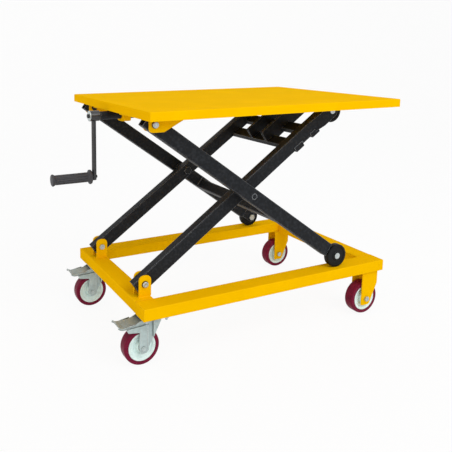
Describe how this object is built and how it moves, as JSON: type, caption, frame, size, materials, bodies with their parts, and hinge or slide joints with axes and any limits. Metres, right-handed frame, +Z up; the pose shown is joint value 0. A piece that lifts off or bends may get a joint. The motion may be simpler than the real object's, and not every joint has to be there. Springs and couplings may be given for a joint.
{
  "type": "lift table",
  "caption": "Mobile scissor lift table with a flat skirted deck, crossed tube arms on rollers, a hand crank on a lead screw and a caster frame.",
  "frame": {"origin": "on the floor under the middle of the overall length and width", "axes": "+Z up, +X along the table away from the crank, +Y to the rear side"},
  "size_m": [1.2145, 0.68, 0.8341],
  "materials": {
    "yellow_paint": "satin powder coat",
    "black_paint": "satin powder coat",
    "bright_steel": "plated, fairly bright",
    "dark_steel": "blackened",
    "zinc": "zinc plated pressed sheet",
    "roller_plastic": "matt",
    "tread_rubber": "smooth polyurethane",
    "hub_plastic": "moulded",
    "grip_rubber": "ribbed, matt"
  },
  "bodies": {
    "base": {"base_rail_front": "yellow_paint", "base_rail_rear": "yellow_paint", "base_rail_left": "yellow_paint", "base_rail_right": "yellow_paint", "lower_pivot_pin_front": "bright_steel", "lower_pivot_pin_rear": "bright_steel", "rigid_fork_front": "yellow_paint", "rigid_fork_rear": "yellow_paint", "rigid_axle_front": "bright_steel", "rigid_axle_rear": "bright_steel", "caster_plate_front": "zinc", "caster_plate_rear": "zinc"},
    "inner_arms": {"inner_arm_front": "black_paint", "inner_arm_rear": "black_paint", "cross_bar_lower": "black_paint", "cross_bar_upper": "black_paint", "nut_bracket_front": "black_paint", "nut_bracket_rear": "black_paint", "roller_bolt_upper_front": "bright_steel", "roller_bolt_upper_rear": "bright_steel"},
    "outer_arms": {"outer_arm_front": "black_paint", "outer_arm_rear": "black_paint", "outer_cross_tube": "black_paint", "centre_pin_front": "dark_steel", "centre_pin_rear": "dark_steel", "roller_bolt_lower_front": "bright_steel", "roller_bolt_lower_rear": "bright_steel"},
    "platform": {"deck": "yellow_paint", "clevis_front": "yellow_paint", "clevis_rear": "yellow_paint", "upper_pivot_bolt_front": "bright_steel", "upper_pivot_bolt_rear": "bright_steel", "screw_tube": "black_paint", "tube_hanger": "yellow_paint", "screw_end_bearing": "yellow_paint"},
    "screw_nut": {"lead_nut": "dark_steel"},
    "screw": {"lead_screw": "bright_steel", "crank_arm": "black_paint", "crank_bolt": "dark_steel", "grip_spindle": "dark_steel"},
    "crank_grip": {"grip": "grip_rubber"},
    "roller_upper_front_body": {"roller_upper_front": "roller_plastic"},
    "roller_lower_front_body": {"roller_lower_front": "roller_plastic"},
    "roller_upper_rear_body": {"roller_upper_rear": "roller_plastic"},
    "roller_lower_rear_body": {"roller_lower_rear": "roller_plastic"},
    "wheel_right_front": {"tread_right_front": "tread_rubber", "hub_right_front": "hub_plastic"},
    "wheel_right_rear": {"tread_right_rear": "tread_rubber", "hub_right_rear": "hub_plastic"},
    "swivel_front": {"swivel_fork_front": "zinc", "swivel_axle_front": "bright_steel"},
    "wheel_left_front": {"tread_left_front": "tread_rubber", "hub_left_front": "hub_plastic"},
    "pedal_front": {"brake_pedal_front": "zinc"},
    "swivel_rear": {"swivel_fork_rear": "zinc", "swivel_axle_rear": "bright_steel"},
    "wheel_left_rear": {"tread_left_rear": "tread_rubber", "hub_left_rear": "hub_plastic"},
    "pedal_rear": {"brake_pedal_rear": "zinc"}
  },
  "joints": [
    {"name": "lift", "type": "hinge", "parent": "base", "child": "inner_arms", "pos_m": [-0.36375, 0, 0.256], "axis": [0, -1, 0], "range_deg": [-23, 10]},
    {"name": "scissor_centre", "type": "hinge", "parent": "inner_arms", "child": "outer_arms", "pos_m": [0.01409, 0, 0.52204], "axis": [0, -1, 0], "range_deg": [-20, 46]},
    {"name": "platform_pivot", "type": "hinge", "parent": "outer_arms", "child": "platform", "pos_m": [-0.36375, 0, 0.78808], "axis": [0, -1, 0], "range_deg": [-23, 10]},
    {"name": "nut_trunnion", "type": "hinge", "parent": "inner_arms", "child": "screw_nut", "pos_m": [0.39192, 0, 0.78808], "axis": [0, -1, 0], "range_deg": [-10, 23]},
    {"name": "crank_turn", "type": "hinge", "parent": "platform", "child": "screw", "pos_m": [0, 0, 0.78808], "axis": [1, 0, 0], "continuous": true},
    {"name": "grip_spin", "type": "hinge", "parent": "screw", "child": "crank_grip", "pos_m": [0, 0, 0.57858], "axis": [1, 0, 0], "continuous": true},
    {"name": "upper_roller_spin_front", "type": "hinge", "parent": "inner_arms", "child": "roller_upper_front_body", "pos_m": [0.39192, -0.2025, 0.78808], "axis": [0, 1, 0], "continuous": true},
    {"name": "lower_roller_spin_front", "type": "hinge", "parent": "outer_arms", "child": "roller_lower_front_body", "pos_m": [0.39192, -0.2685, 0.256], "axis": [0, 1, 0], "continuous": true},
    {"name": "upper_roller_spin_rear", "type": "hinge", "parent": "inner_arms", "child": "roller_upper_rear_body", "pos_m": [0.39192, 0.2025, 0.78808], "axis": [0, 1, 0], "continuous": true},
    {"name": "lower_roller_spin_rear", "type": "hinge", "parent": "outer_arms", "child": "roller_lower_rear_body", "pos_m": [0.39192, 0.2685, 0.256], "axis": [0, 1, 0], "continuous": true},
    {"name": "wheel_spin_right_front", "type": "hinge", "parent": "base", "child": "wheel_right_front", "pos_m": [0.54475, -0.2593, 0.0625], "axis": [0, 1, 0], "continuous": true},
    {"name": "wheel_spin_right_rear", "type": "hinge", "parent": "base", "child": "wheel_right_rear", "pos_m": [0.54475, 0.2593, 0.0625], "axis": [0, 1, 0], "continuous": true},
    {"name": "swivel_turn_front", "type": "hinge", "parent": "base", "child": "swivel_front", "pos_m": [-0.35275, -0.233, 0.1599], "axis": [0, 0, 1], "continuous": true},
    {"name": "wheel_spin_left_front", "type": "hinge", "parent": "swivel_front", "child": "wheel_left_front", "pos_m": [-0.39075, -0.233, 0.0625], "axis": [0, 1, 0], "continuous": true},
    {"name": "brake_release_front", "type": "hinge", "parent": "swivel_front", "child": "pedal_front", "pos_m": [-0.44075, -0.233, 0.135], "axis": [0, 1, 0], "range_deg": [0, 12]},
    {"name": "swivel_turn_rear", "type": "hinge", "parent": "base", "child": "swivel_rear", "pos_m": [-0.35275, 0.233, 0.1599], "axis": [0, 0, 1], "continuous": true},
    {"name": "wheel_spin_left_rear", "type": "hinge", "parent": "swivel_rear", "child": "wheel_left_rear", "pos_m": [-0.39075, 0.233, 0.0625], "axis": [0, 1, 0], "continuous": true},
    {"name": "brake_release_rear", "type": "hinge", "parent": "swivel_rear", "child": "pedal_rear", "pos_m": [-0.44075, 0.233, 0.135], "axis": [0, 1, 0], "range_deg": [0, 12]}
  ],
  "couplings": [
    {"joint": "scissor_centre", "follows": "lift", "ratio": -2},
    {"joint": "platform_pivot", "follows": "lift", "ratio": 1},
    {"joint": "nut_trunnion", "follows": "lift", "ratio": -1}
  ]
}
